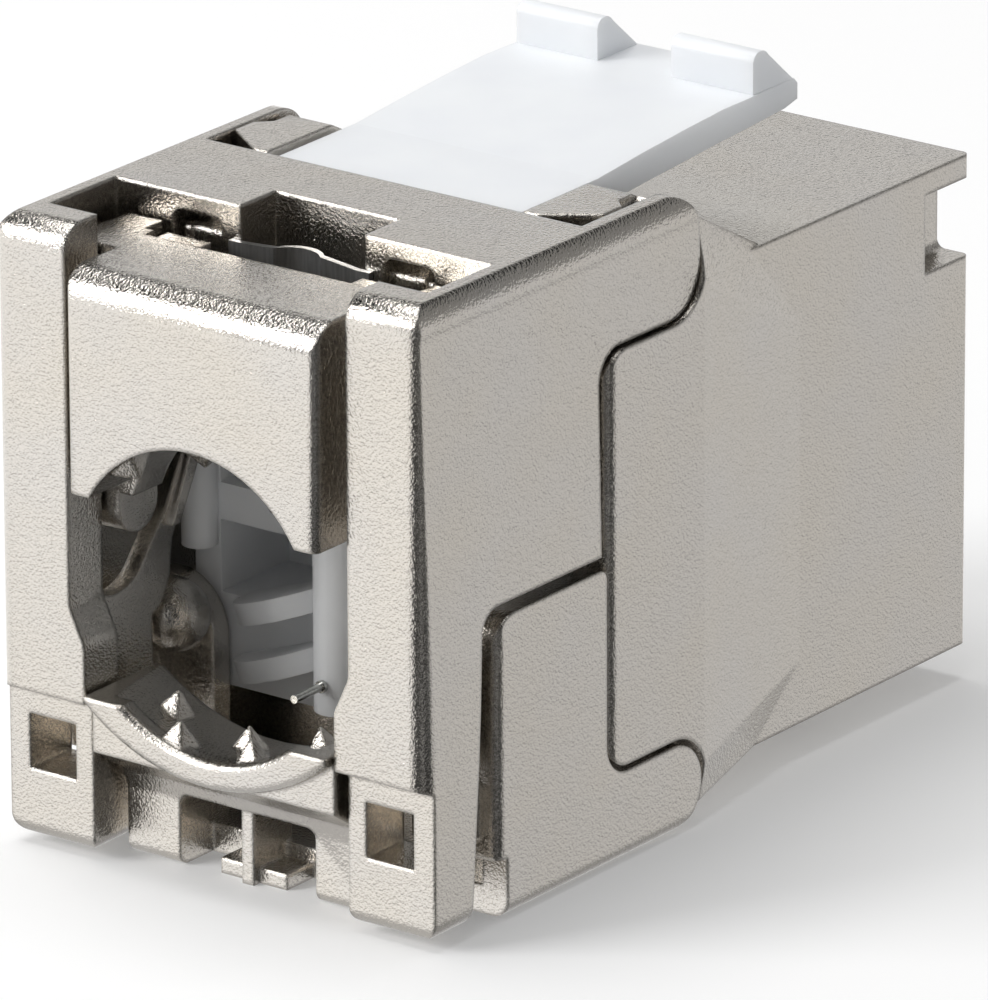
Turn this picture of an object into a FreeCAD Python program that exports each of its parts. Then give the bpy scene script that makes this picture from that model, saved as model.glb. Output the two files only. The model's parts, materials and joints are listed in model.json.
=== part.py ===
"""Shielded tool-free keystone jack, closed, standing on its underside.

Millimetres, +Z up. The cable enters on the -Y side and the plug on the +Y side.
Everything is drawn from the cable side: y = 0 is the rear face of the two posts
and z = 0 is the underside. Saving moves the drawing so that the origin is the
middle of the part's footprint.
"""
import FreeCAD, Part

import math
import os

from FreeCAD import Rotation, Vector

# ---- Overall -------------------------------------------------------------
FACE_WIDTH = 14.6            # keystone face, fits a standard cut-out
FACE_HEIGHT = 16.2
BODY_DEPTH = 29.4            # posts to plug face
HOOK_DROP = 1.2              # fixed keystone hook below the face
REAR_WIDTH = 16.2            # over the wings
TOP_Z = 20.4                 # top of the rear section
CORNER_ROUND = 0.9
FACE_ROUND = 0.3             # vertical edges of the plug face
SEAM = 0.12                  # visible seams between castings
OPEN_SEAM = 0.3              # wider seam along the upper wing's front edge
RUNNING_FIT = 0.05           # pins in their holes
SLIDE_GAP = 0.15             # sliding and plug-in pieces

FACE_BOTTOM = HOOK_DROP
FACE_TOP = FACE_BOTTOM + FACE_HEIGHT
HALF_FACE = FACE_WIDTH / 2
HALF_REAR = REAR_WIDTH / 2

# ---- Main housing --------------------------------------------------------
HOUSING_REAR_Y = 9.3         # where the housing's side walls start
FLARE_Y = 14.2               # where the wide rear section starts to taper
TAPER_END_Y = 20.3
SLOPE_TOP_Y = 12.65          # top slope, from the tabs down to the face part
SLOPE_END_Y = 18.3
UNDER_SLOPE_Z = 0.6
UNDER_SLOPE_END_Y = 18.0
SHOULDER_Z = 16.5            # top of the housing's side walls
SILL_Z = 3.14                # bottom of the housing's side walls
SHOULDER_ROUND = 0.95
TAB_NOTCH = 1.6              # slanted rear face of the tabs beside the latch
TAB_NOTCH_DEPTH = 1.15
TAB_DIMPLE = 0.25
SIDE_GROOVE_DEPTH = 1.25     # grooves beside the plug face
SIDE_GROOVE_LENGTH = 2.45
SIDE_GROOVE_LOW = 14.08
SIDE_GROOVE_HIGH = 16.65
FRONT_WALL = 2.6
CHAMBER_HALF = 6.7
CHAMBER_LOW = 3.3
CHAMBER_HIGH = 15.8
SHELL_STEP_Y = 15.55         # chamber narrows to the shell round the insert
SHELL_HALF = 6.3
HOOK_HALF = 4.5
HOOK_Y = 21.65
HOOK_FLAT = 0.9
HOOK_LENGTH = 2.4

# ---- Plug port (8-position modular) --------------------------------------
PORT_WIDTH = 11.84
PORT_TOP = 12.9
PORT_BODY_HEIGHT = 6.8
TAB_WIDTH_1 = 6.3            # stepped channel for the plug's locking tab
TAB_DEPTH_1 = 0.8
TAB_WIDTH_2 = 3.3
TAB_DEPTH_2 = 0.9
TAB_CHANNEL_LENGTH = 8.0
PLUG_STOP_Y = 18.0
PORT_CHAMFER = 0.35

# ---- Wings ---------------------------------------------------------------
UPPER_PIVOT_Y = 12.5
UPPER_PIVOT_Z = 19.4
UPPER_PIN_RADIUS = 0.55
LOWER_PIVOT_Y = 12.65
LOWER_PIVOT_Z = 1.52
LOWER_PIN_RADIUS = 0.45
PIN_END_HALF = 5.6           # the pins' inner ends
WING_INNER_HALF = 7.1        # inner faces of the wings' sides
TAB_HALF = WING_INNER_HALF - SEAM
TAB_REAR_Y = HOUSING_REAR_Y + SEAM
UPPER_TOP_HALF = 7.55        # top edge of the drafted side
UPPER_DRAFT_HALF = 7.9
UPPER_ARC_DROP = 1.05
LOBE_ROUND = 1.6             # upper wing's hinge end
CAP_ROUND = 1.3
LOWER_LOBE_ROUND = 1.4
POST_INNER_HALF = 5.3        # slot between the posts
POST_WAIST_HALF = 4.75
POST_DEPTH = 1.65
POST_STEP_Y = 0.53
POST_STEP_Z = 5.1
STRIP_Y = 2.97               # front edge of the posts' side strips
FOOT_HALF_IN = 4.87
FOOT_DEPTH = 2.4
FOOT_Z = 0.3
FOOT_ROUND = 0.75
POST_ROUND = 0.65            # posts' outer edges
WEB_THICK = 0.6              # pierced inner webs beside the cable
WEB_RIB = 0.25
SNAP_HOLE = 1.79
SNAP_HOLE_IN = 5.53
SNAP_HOLE_Z = 2.55
BRIDGE_THICK = 1.25
NOTCH_Y = 4.85               # rear edge of the bridge
POCKET_HALF = 2.35
POCKET_Y = 6.6
POCKET_FLOOR_Z = 17.3
GUIDE_LOW_Z = 15.6
GUIDE_FRONT_Y = 7.4
RACK_HALF = (3.08, 4.95)     # recesses in the bridge, one each side of the pocket
RACK_LOW_Z = 17.6
RACK_TOP_Z = 19.82
RACK_DEPTH = 1.3
PAWL_HALF_OUT = 4.35         # block inside each recess, with a bead beside it
PAWL_SET = 0.3
PAWL_TOP_Z = 19.25
PAWL_RISE = 0.4
BEAD_RADIUS = 0.26
WING_SEAM_Z = 10.15          # upper wing's lower edge above the lower wing
WING_SEAM_GAP = 0.4
LOWER_REAR_Y = 3.65
LOWER_EDGE_ROUND = 0.35
LOWER_NOTCH = 0.5
LOWER_NOTCH_Z = 2.0
FLOOR_THICK = 0.95
FLOOR_END_Y = 10.6
CRADLE_HALF = 4.6
CRADLE_Y = 1.85
CRADLE_END_Y = 3.35
LIP_PROUD = 0.3
LIP_THICK = 0.35
LIP_ROUND = 0.25
LIP_INNER_RADIUS = 5.17      # the trough opens from the lip's arc ...
LIP_INNER_Z = 9.8
TROUGH_RADIUS = 7.2          # ... to a flatter one that falls inwards
TROUGH_FALL = 7.0
LIP_OUTER_RADIUS = 7.07
LIP_OUTER_Z = 10.8
LIP_TOP_Z = 5.7
RECESS_HALF = 2.6
RECESS_TOP_Z = 2.4
RECESS_DEPTH = 1.6
WEB_HALF = 0.22
FLANGE_HALF = 1.26
FLANGE_HEIGHT = 0.5
TOOTH_HALF = 0.38            # four-sided grip teeth
TOOTH_ROWS_Y = (2.0, 0.35)
TOOTH_HEIGHT = 0.65
TOOTH_PITCH = 2.85
FINGER_Y = 6.65              # fingers and lugs that press the wire manager home
FINGER_THICK = 0.8
FINGER_HALF_IN = 5.0
FINGER_TOP_Z = 7.2
LUG_Y = 5.7
LUG_Z = 6.3
LUG_RADIUS = 1.2
LUG_HALF_IN = 4.65

# ---- Cable clamp ---------------------------------------------------------
CLAMP_PROUD = 0.75           # clamp plate's face in front of the posts
CLAMP_HALF = 4.7
CLAMP_TOP_Z = 19.45
CLAMP_ROUND = 1.05
CLAMP_TIP_Z = 12.35
CABLE_ARCH_RADIUS = 4.48
CABLE_ARCH_Z = 10.1
CLAMP_TOOTH_TURN = 40.0      # three broad teeth round the arch
CLAMP_TOOTH_HALF = 0.62
CLAMP_TOOTH_DEEP = 0.5
FLANGE_PLATE_HALF = 6.5
FLANGE_PLATE_Y = 3.25
RUNNER_HALF_IN = 4.75
RUNNER_END_Y = 3.7
RUNNER_TIP_Z = 10.1
RIB_HALF = (2.85, 4.5)       # ribs behind the clamp plate
RIB_END_Y = 4.05
EAR_HALF = (5.1, 6.45)       # ears at the flange's upper corners
EAR_END_Y = 4.6
EAR_HEIGHT = 1.1
FLANGE_PLATE_LOW_Z = 11.6
SPRING_SHEET = 0.2           # leaf that holds the clamp plate
SPRING_SEAT = 0.02
SPRING_FOOT = 0.3
SPRING_BOW = 0.65
SPRING_LOW_Z = POCKET_FLOOR_Z + 0.05

# ---- Latch ---------------------------------------------------------------
LATCH_HALF = 4.6
LATCH_GAP = 0.25
LATCH_ROOT_Y = 10.5
LATCH_ROOT_RADIUS = 0.95
LATCH_ROOT_Z = 19.28
LATCH_TOP_Z = 20.25
LATCH_RISE_Z = 20.78
LATCH_THICK = 1.0
LATCH_END_Y = 24.2
CATCH_Y = 21.65
CATCH_TOP_Z = 22.1
CATCH_IN = 1.41
CATCH_OUT = 4.52
LATCH_PIN_RADIUS = 0.5
LATCH_PIN_LENGTH = 0.9

# ---- Inside --------------------------------------------------------------
CONTACTS = 8
CONTACT_PITCH = 1.016
CONTACT_WIDTH = 0.32
CONTACT_RAIL_Z = 14.3
CONTACT_BEND_SET = 1.6       # bends and side springs, from the front wall's back
CONTACT_BEND_RADIUS = 0.55
CONTACT_TAIL = 0.5           # soldered ends behind the board
CONTACT_SLOT_GAP = 0.12
CONTACT_TIP_SET = 5.6         # tips behind the bends
CONTACT_TIP_Z = 10.7
BOARD_Y = SHELL_STEP_Y
BOARD_THICK = 1.0
INSERT_Y = BOARD_Y + BOARD_THICK
INSERT_END_Y = BODY_DEPTH - FRONT_WALL
CONTACT_BEND_Y = INSERT_END_Y - CONTACT_BEND_SET
CONTACT_TIP_Y = CONTACT_BEND_Y - CONTACT_TIP_SET
PLUG_SPRING_THICK = 0.18
PLUG_SPRING_HEIGHT = 2.4
PLUG_SPRING_Z = 9.6          # middle height of the side springs
PLUG_SPRING_REAR_Y = PLUG_STOP_Y + 1.6
PLUG_SPRING_FRONT_Y = INSERT_END_Y - 1.4
PLUG_SPRING_BOW = 0.35       # reach into the port
IDC_PITCH = 3.0
IDC_ROWS_Z = (5.8, 13.4)
IDC_WIDTH = 2.0
IDC_THICK = 0.4
IDC_SLOT = 0.35
IDC_REACH = 2.6              # fork in front of its block
IDC_BLOCK_Y = 12.9
MANAGER_Y = 7.6
MANAGER_WALL = 1.0
MANAGER_MOUTH = 3.4
NOSE_RADIUS = 0.75           # rounded post between the pairs
NOSE_Y = 6.4
NOSE_LOW_Z = 4.3
COLUMN_RADIUS = 0.57         # round columns at the outer sides
COLUMN_HALF = 5.95
COLUMN_Y = 7.25
COLUMN_LOW_Z = 8.15
LEDGE_Z = (6.4, 8.3)         # ledges fall outwards from the nose
LEDGE_HEIGHT = 0.7
LEDGE_TILT = 20.0
LEDGE_NOSE_Y = 5.9
PIN_RADIUS = 0.13            # small metal pin in the nose
PIN_REACH = 1.45
PIN_Z = 5.27

ORIGIN_Y = (BODY_DEPTH - CLAMP_PROUD) / 2
EPS = 0.01


# ---- Helpers -------------------------------------------------------------
def box(x0, x1, y0, y1, z0, z1):
    """A box between two corners."""
    return Part.makeBox(x1 - x0, y1 - y0, z1 - z0, Vector(x0, y0, z0))


def rod(centre, direction, radius, length):
    """A round bar that starts at centre."""
    return Part.makeCylinder(radius, length, Vector(*centre), Vector(*direction))


def outline(points, place):
    """A face from points and arcs. An arc is written ("arc", through, end)."""
    edges = []
    here = place(*points[0])
    start = here
    for item in points[1:]:
        if item[0] == "arc":
            end = place(*item[2])
            edges.append(Part.Arc(here, place(*item[1]), end).toShape())
        else:
            end = place(*item)
            edges.append(Part.makeLine(here, end))
        here = end
    if (here - start).Length > 1e-6:
        edges.append(Part.makeLine(here, start))
    return Part.Face(Part.Wire(edges))


def side_prism(points, x0, x1):
    """An outline in (y, z), carried from x0 to x1."""
    face = outline(points, lambda y, z: Vector(x0, y, z))
    return face.extrude(Vector(x1 - x0, 0, 0))


def front_prism(points, y0, y1):
    """An outline in (x, z), carried from y0 to y1."""
    face = outline(points, lambda x, z: Vector(x, y0, z))
    return face.extrude(Vector(0, y1 - y0, 0))


def plan_prism(points, z0, z1):
    """An outline in (x, y), carried from z0 to z1."""
    face = outline(points, lambda x, y: Vector(x, y, z0))
    return face.extrude(Vector(0, 0, z1 - z0))


def arc_through(centre, radius, angle):
    """The point of a circle at an angle in degrees."""
    turn = math.radians(angle)
    return (centre[0] + radius * math.cos(turn), centre[1] + radius * math.sin(turn))


def mirrored(shape):
    """The shape's twin on the other side of the middle plane."""
    return shape.mirror(Vector(0, 0, 0), Vector(1, 0, 0))


def both(shape):
    """The shape and its twin."""
    return [shape, mirrored(shape)]


def joined(*shapes):
    """One solid from several that touch."""
    whole = shapes[0].fuse(list(shapes[1:]))
    return whole.removeSplitter()


def beyond(point, normal, size=60.0):
    """A large block that fills the space on the normal's side of a plane."""
    block = box(-size / 2, size / 2, -size / 2, size / 2, 0, size)
    block.Placement = FreeCAD.Placement(Vector(*point), Rotation(Vector(0, 0, 1), Vector(*normal)))
    return block


def rounded_rectangle(x0, x1, z0, z1, radius):
    """Outline points of a rectangle with round corners."""
    k = radius * (1 - math.sqrt(0.5))
    return [
        (x0 + radius, z0), (x1 - radius, z0), ("arc", (x1 - k, z0 + k), (x1, z0 + radius)),
        (x1, z1 - radius), ("arc", (x1 - k, z1 - k), (x1 - radius, z1)),
        (x0 + radius, z1), ("arc", (x0 + k, z1 - k), (x0, z1 - radius)),
        (x0, z0 + radius), ("arc", (x0 + k, z0 + k), (x0 + radius, z0)),
    ]


def pyramid(foot, turn, half_x, half_y, height, sink=0.2):
    """A four-sided point on a surface, leaning turn degrees about the Y axis."""
    grown = (height + sink) / height
    a = half_x * grown
    b = half_y * grown
    tip = 0.03
    point = Part.makeWedge(-a, 0, -b, -tip, -tip, a, height + sink, b, tip, tip)
    upright = Rotation(Vector(1, 0, 0), 90)
    lean = Rotation(Vector(0, 1, 0), turn)
    down = lean.multVec(Vector(0, 0, -sink))
    point.Placement = FreeCAD.Placement(Vector(*foot) + down, lean * upright)
    return point


def save(name, shape):
    """Write one node, moved so that the origin is the middle of the footprint."""
    if len(shape.Solids) != 1:
        raise ValueError("%s is in %d pieces" % (name, len(shape.Solids)))
    placed = shape.Solids[0].copy()
    placed.translate(Vector(0, -ORIGIN_Y, 0))
    placed.exportStep(os.path.join("parts", name + ".step"))


# ---- Main housing --------------------------------------------------------
def port_outline(grow=0.0):
    """The plug port: a wide body over the stepped channel of the locking tab."""
    half = PORT_WIDTH / 2 + grow
    floor = PORT_TOP - PORT_BODY_HEIGHT - grow
    step1 = floor - TAB_DEPTH_1
    step2 = step1 - TAB_DEPTH_2
    half1 = TAB_WIDTH_1 / 2 + grow
    half2 = TAB_WIDTH_2 / 2 + grow
    top = PORT_TOP + grow
    return [(-half, floor), (-half1, floor), (-half1, step1), (-half2, step1), (-half2, step2),
            (half2, step2), (half2, step1), (half1, step1), (half1, floor), (half, floor),
            (half, top), (-half, top)]


def housing_outside():
    """Wide rear section that flares down to the keystone face part."""
    k = 0.4
    right = [(0, HOUSING_REAR_Y), (HALF_REAR - k, HOUSING_REAR_Y),
             ("arc", (HALF_REAR - 0.3 * k, HOUSING_REAR_Y + 0.3 * k), (HALF_REAR, HOUSING_REAR_Y + k)),
             (HALF_REAR, FLARE_Y), (HALF_FACE, TAPER_END_Y), (0, TAPER_END_Y)]
    plan = plan_prism(right, 0, TOP_Z + 1)
    plan = plan.fuse(mirrored(plan))
    slope = side_prism([(HOUSING_REAR_Y, FACE_BOTTOM), (HOUSING_REAR_Y + 1.6, FACE_BOTTOM),
                        (HOUSING_REAR_Y + 1.6, UNDER_SLOPE_Z), (FLARE_Y, UNDER_SLOPE_Z),
                        (UNDER_SLOPE_END_Y, FACE_BOTTOM), (TAPER_END_Y, FACE_BOTTOM),
                        (TAPER_END_Y, FACE_TOP), (SLOPE_END_Y, FACE_TOP), (SLOPE_TOP_Y, TOP_Z),
                        (TAB_REAR_Y, TOP_Z), (TAB_REAR_Y, SHOULDER_Z), (HOUSING_REAR_Y, SHOULDER_Z)],
                       -HALF_REAR - 1, HALF_REAR + 1)
    wide = plan.common(slope)
    for turn in (1, -1):
        wide = wide.cut(beyond((turn * HALF_REAR, FLARE_Y + 0.07, 17.43), (turn * 0.953, 0.229, 0.2)))
        wide = wide.cut(beyond((turn * HALF_REAR, FLARE_Y - 0.1, 1.91), (turn * 0.967, 0.167, -0.195)))
    r = FACE_ROUND
    top = [(-HALF_FACE, FLARE_Y + 0.3), (HALF_FACE, FLARE_Y + 0.3), (HALF_FACE, BODY_DEPTH - r),
           ("arc", arc_through((HALF_FACE - r, BODY_DEPTH - r), r, 45), (HALF_FACE - r, BODY_DEPTH)),
           (r - HALF_FACE, BODY_DEPTH),
           ("arc", arc_through((r - HALF_FACE, BODY_DEPTH - r), r, 135), (-HALF_FACE, BODY_DEPTH - r))]
    face_part = plan_prism(top, FACE_BOTTOM, FACE_TOP)
    return wide.fuse(face_part)


def housing_wing_relief():
    """Room for the wings' side arms, concentric with their hinge ends."""
    z = SHOULDER_Z
    y = HOUSING_REAR_Y
    s = SHOULDER_ROUND
    lobe = LOBE_ROUND + SEAM
    centre = (FLARE_Y - LOBE_ROUND, z + lobe)
    upper = side_prism([(y - 1, z - s), (y, z - s), ("arc", arc_through((y + s, z - s), s, 135), (y + s, z)),
                        (centre[0], z), ("arc", arc_through(centre, lobe, -45), (centre[0] + lobe, centre[1])),
                        (centre[0] + lobe, TOP_Z + 1), (y - 1, TOP_Z + 1)], TAB_HALF, HALF_REAR + 1)
    low = SILL_Z
    pivot = (LOWER_PIVOT_Y, LOWER_PIVOT_Z)
    reach = low - LOWER_PIVOT_Z
    lower = side_prism([(y - 1, low + s), (y, low + s), ("arc", arc_through((y + s, low + s), s, 225), (y + s, low)),
                        (pivot[0], low), ("arc", arc_through(pivot, reach, 45), (pivot[0] + reach, pivot[1])),
                        (pivot[0] + reach, -1), (y - 1, -1)], WING_INNER_HALF - SEAM, HALF_REAR + 1)
    return both(upper) + both(lower)


def hinge_bore(y, z, radius):
    """Blind bores for a wing's two pins."""
    length = WING_INNER_HALF - PIN_END_HALF + 0.3
    return both(rod((PIN_END_HALF - 0.1, y, z), (1, 0, 0), radius + RUNNING_FIT, length))


def latch_channel():
    """Open channel between the tabs, with a round seat for the latch's root."""
    half = LATCH_HALF + LATCH_GAP
    floor = LATCH_TOP_Z - LATCH_THICK - 0.45
    channel = box(-half, half, HOUSING_REAR_Y - 1, SLOPE_END_Y, floor, TOP_Z + 1)
    pins = both(rod((half - EPS, LATCH_ROOT_Y, LATCH_ROOT_Z), (1, 0, 0),
                    LATCH_PIN_RADIUS + RUNNING_FIT, LATCH_PIN_LENGTH - LATCH_GAP + 0.15))
    return [channel] + pins


def main_housing():
    """Die-cast body: plug shell, rear chamber, flare, tabs, grooves and hook."""
    body = housing_outside()
    hook = side_prism([(HOOK_Y, FACE_BOTTOM + 0.3), (HOOK_Y, 0), (HOOK_Y + HOOK_FLAT, 0),
                       (HOOK_Y + HOOK_LENGTH, FACE_BOTTOM), (HOOK_Y + HOOK_LENGTH, FACE_BOTTOM + 0.3)],
                      -HOOK_HALF, HOOK_HALF)
    body = body.fuse(hook)
    inner_face_y = BODY_DEPTH - FRONT_WALL
    cuts = housing_wing_relief()
    cuts += hinge_bore(UPPER_PIVOT_Y, UPPER_PIVOT_Z, UPPER_PIN_RADIUS)
    cuts += hinge_bore(LOWER_PIVOT_Y, LOWER_PIVOT_Z, LOWER_PIN_RADIUS)
    cuts += latch_channel()
    cuts.append(front_prism(rounded_rectangle(-CHAMBER_HALF, CHAMBER_HALF, CHAMBER_LOW, CHAMBER_HIGH, 0.6),
                            HOUSING_REAR_Y - 1, SHELL_STEP_Y))
    cuts.append(box(-SHELL_HALF, SHELL_HALF, SHELL_STEP_Y - 1, inner_face_y, CHAMBER_LOW, CHAMBER_HIGH))
    cuts.append(front_prism(port_outline(), inner_face_y - 1, BODY_DEPTH + 1))
    groove_y = BODY_DEPTH - SIDE_GROOVE_LENGTH
    r = 0.3
    groove = front_prism([(HALF_FACE - SIDE_GROOVE_DEPTH, SIDE_GROOVE_HIGH),
                          (HALF_FACE - SIDE_GROOVE_DEPTH, SIDE_GROOVE_LOW + r),
                          ("arc", arc_through((HALF_FACE - SIDE_GROOVE_DEPTH + r, SIDE_GROOVE_LOW + r), r, 225),
                           (HALF_FACE - SIDE_GROOVE_DEPTH + r, SIDE_GROOVE_LOW)),
                          (HALF_FACE + 1, SIDE_GROOVE_LOW), (HALF_FACE + 1, SIDE_GROOVE_HIGH)],
                         groove_y, BODY_DEPTH + 1)
    cuts += both(groove)
    slant = TAB_REAR_Y + TAB_NOTCH_DEPTH
    notch = plan_prism([(TAB_HALF - TAB_NOTCH, TAB_REAR_Y - 0.5), (TAB_HALF - TAB_NOTCH, TAB_REAR_Y),
                        (TAB_HALF, slant), (TAB_HALF + 1, slant),
                        (TAB_HALF + 1, TAB_REAR_Y - 0.5)], SHOULDER_Z + 0.1, TOP_Z + 1)
    cuts += both(notch)
    dimple = plan_prism([(TAB_HALF - 0.45, slant + 1.35), (TAB_HALF, slant + 0.9), (TAB_HALF + 1, slant + 0.9),
                         (TAB_HALF + 1, slant + 2.45), (TAB_HALF - 0.5, slant + 2.35)],
                        TOP_Z - TAB_DIMPLE, TOP_Z + 1)
    cuts += both(dimple)
    return body.cut(cuts).removeSplitter()


# ---- Upper wing ----------------------------------------------------------
def upper_section(inset=0.0):
    """Cross-section of the cover: drafted sides that roll over into the top."""
    half = HALF_REAR - inset
    draft = UPPER_DRAFT_HALF - inset
    top_half = UPPER_TOP_HALF - inset
    top = TOP_Z - inset
    turn = top - UPPER_ARC_DROP
    mid_x = draft - 0.08
    mid_z = top - 0.32 * UPPER_ARC_DROP
    return [(-half, -1), (half, -1), (half, WING_SEAM_Z - 3), (draft, turn),
            ("arc", (mid_x, mid_z), (top_half, top)), (-top_half, top),
            ("arc", (-mid_x, mid_z), (-draft, turn)), (-half, WING_SEAM_Z - 3)]


def upper_side_outline():
    """Side view of the upper wing: post, foot, strip, seams and hinge end."""
    r = CORNER_ROUND
    z = SHOULDER_Z + SEAM
    y = HOUSING_REAR_Y - OPEN_SEAM
    s = SHOULDER_ROUND + SEAM
    lobe_y = FLARE_Y
    lobe = (lobe_y - LOBE_ROUND, z + LOBE_ROUND)
    cap = (lobe_y - CAP_ROUND, TOP_Z - CAP_ROUND)
    return [(POST_STEP_Y, FOOT_Z + 0.5), ("arc", arc_through((POST_STEP_Y + 0.5, FOOT_Z + 0.5), 0.5, 225),
                                         (POST_STEP_Y + 0.5, FOOT_Z)),
            (FOOT_DEPTH - 0.4, FOOT_Z), ("arc", arc_through((FOOT_DEPTH - 0.4, FOOT_Z + 0.4), 0.4, -45),
                                         (FOOT_DEPTH, FOOT_Z + 0.4)),
            (STRIP_Y - 0.2, POST_STEP_Z + 0.6), (STRIP_Y, WING_SEAM_Z - 0.8),
            ("arc", arc_through((STRIP_Y + 0.8, WING_SEAM_Z - 0.8), 0.8, 135), (STRIP_Y + 0.8, WING_SEAM_Z)),
            (y, WING_SEAM_Z), (y, z - s),
            ("arc", arc_through((y + s, z - s), s, 135), (y + s, z)),
            (lobe[0], z), ("arc", arc_through(lobe, LOBE_ROUND, -45), (lobe_y, lobe[1])),
            (lobe_y, cap[1]), ("arc", arc_through(cap, CAP_ROUND, 45), (cap[0], TOP_Z)),
            (r, TOP_Z), ("arc", arc_through((r, TOP_Z - r), r, 135), (0, TOP_Z - r)),
            (0, POST_STEP_Z + 0.2), (POST_STEP_Y, POST_STEP_Z)]


def post_slot():
    """Opening between the posts: wide for the clamp plate, waisted for the lip."""
    wide = POST_INNER_HALF
    waist = POST_WAIST_HALF
    step = POST_STEP_Z
    right = [(0, -1), (FOOT_HALF_IN, -1), (FOOT_HALF_IN, step), (waist + 0.4, step),
             ("arc", (waist + 0.12, step + 0.12), (waist, step + 0.4)),
             (waist, step + 1.9), ("arc", (waist + 0.06, step + 2.2), (waist + 0.16, step + 2.4)),
             (wide - 0.12, step + 3.0), ("arc", (wide - 0.03, step + 3.2), (wide, step + 3.5)),
             (wide, TOP_Z + 1), (0, TOP_Z + 1)]
    half = front_prism(right, -1, POST_DEPTH + EPS)
    foot_gap = box(0, FOOT_HALF_IN, POST_DEPTH, FOOT_DEPTH + 1, -1, POST_STEP_Z + EPS)
    return both(half) + both(foot_gap)


def inner_webs():
    """Webs beside the cable: a panel above the foot and a strut up to the bridge."""
    top = GUIDE_LOW_Z + 0.3
    web = side_prism([(POST_DEPTH - 0.2, POST_STEP_Z + 0.05), (4.05, POST_STEP_Z + 0.05), (4.05, 6.9),
                      (4.5, 7.1), (4.9, 7.9), (5.05, 9.1), (5.7, 10.3), (6.6, 12.0), (6.6, top), (5.7, top),
                      (5.65, 11.8), (4.7, 10.0), (4.2, 9.5), (3.6, 8.75),
                      ("arc", (2.6, 8.1), (1.75, 8.2)), (POST_DEPTH - 0.2, 8.2)],
                     POST_INNER_HALF, POST_INNER_HALF + WEB_THICK)
    rib = side_prism([(4.75, 9.6), (5.15, 9.6), (5.7, 10.6), (6.5, 12.1), (6.5, top), (5.9, top), (5.8, 12.0)],
                     POST_INNER_HALF - WEB_RIB, POST_INNER_HALF + EPS)
    return both(web.fuse(rib))


def rack_recess():
    """Recess in the bridge's rear face, rounded at its outer upper corner."""
    inner, outer = RACK_HALF
    r = 0.3
    shape = front_prism([(inner, RACK_LOW_Z), (outer, RACK_LOW_Z), (outer, RACK_TOP_Z - r),
                         ("arc", arc_through((outer - r, RACK_TOP_Z - r), r, 45), (outer - r, RACK_TOP_Z)),
                         (inner + r, RACK_TOP_Z),
                         ("arc", arc_through((inner + r, RACK_TOP_Z - r), r, 135), (inner, RACK_TOP_Z - r))],
                        NOTCH_Y - EPS, NOTCH_Y + RACK_DEPTH)
    face = NOTCH_Y + PAWL_SET
    back = NOTCH_Y + RACK_DEPTH + 1
    pawl = side_prism([(face, RACK_LOW_Z - EPS), (face, PAWL_TOP_Z), (face + 0.7, PAWL_TOP_Z + PAWL_RISE),
                       (back, PAWL_TOP_Z + PAWL_RISE), (back, RACK_LOW_Z - EPS)], inner - EPS, PAWL_HALF_OUT)
    bead = rod((PAWL_HALF_OUT + BEAD_RADIUS, face + BEAD_RADIUS, RACK_LOW_Z - EPS), (0, 0, 1),
               BEAD_RADIUS, PAWL_TOP_Z - RACK_LOW_Z)
    return shape.cut([pawl, bead])


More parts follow.
